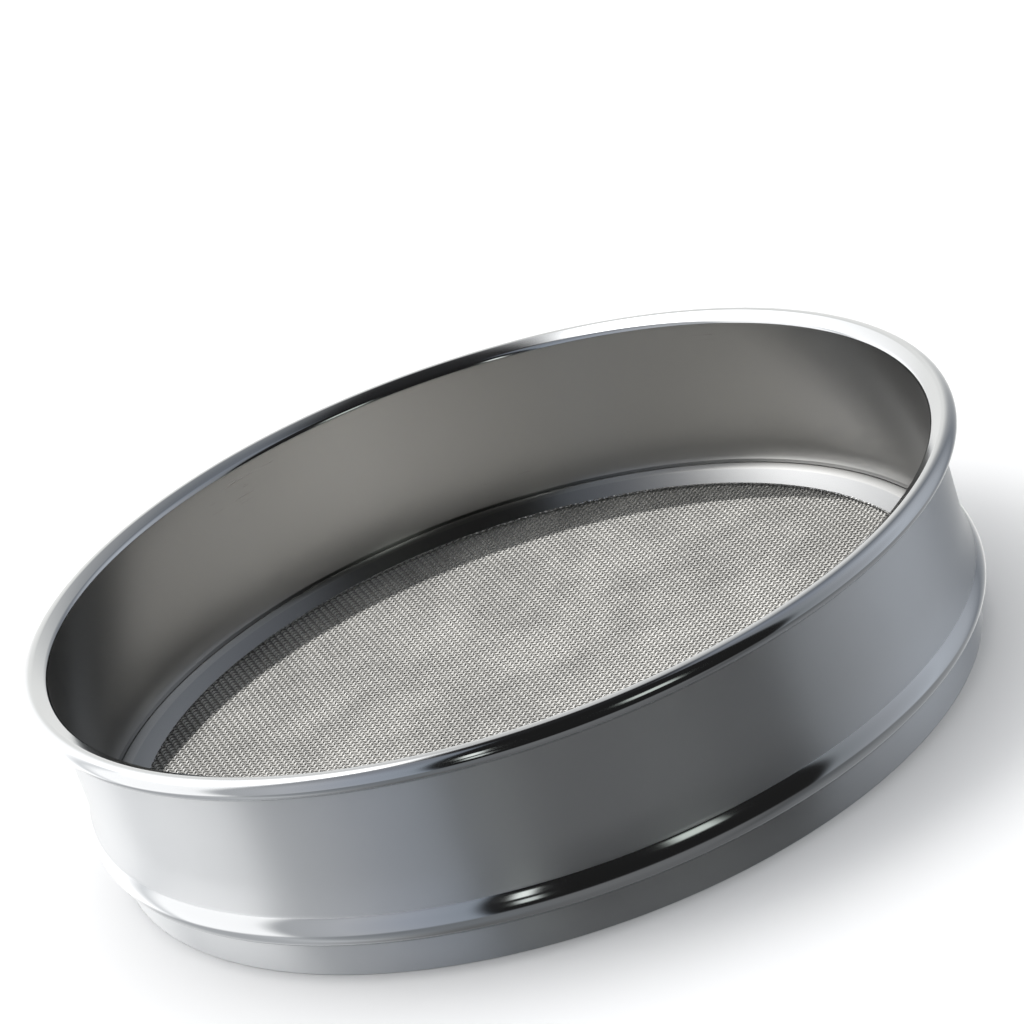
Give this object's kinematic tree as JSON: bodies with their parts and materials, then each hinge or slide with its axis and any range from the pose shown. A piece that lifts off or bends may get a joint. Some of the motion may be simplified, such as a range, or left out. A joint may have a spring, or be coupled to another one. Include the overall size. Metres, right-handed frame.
{
  "type": "soil sieve",
  "caption": "Round sheet-steel laboratory sieve with a rolled rim, swaged lower bead, nesting skirt and woven wire cloth held by rings.",
  "frame": {"origin": "centre of the skirt's foot, on the plane the sieve stands on", "axes": "+Z along the sieve's axis, up out of its mouth; X and Y are free, because every piece is round"},
  "size_m": [0.2112, 0.2112, 0.0495],
  "materials": {
    "satin_frame": "satin wall, mirror-polished rim and bead",
    "satin_skirt": "satin",
    "seat_steel": "bright",
    "cloth_wire": "drawn wire",
    "ring_steel": "polished"
  },
  "bodies": {
    "root": {"upper_frame": "satin_frame", "nesting_skirt": "satin_skirt", "cloth_seat_ring": "seat_steel", "wire_cloth": "cloth_wire", "retaining_ring": "ring_steel"}
  },
  "joints": []
}
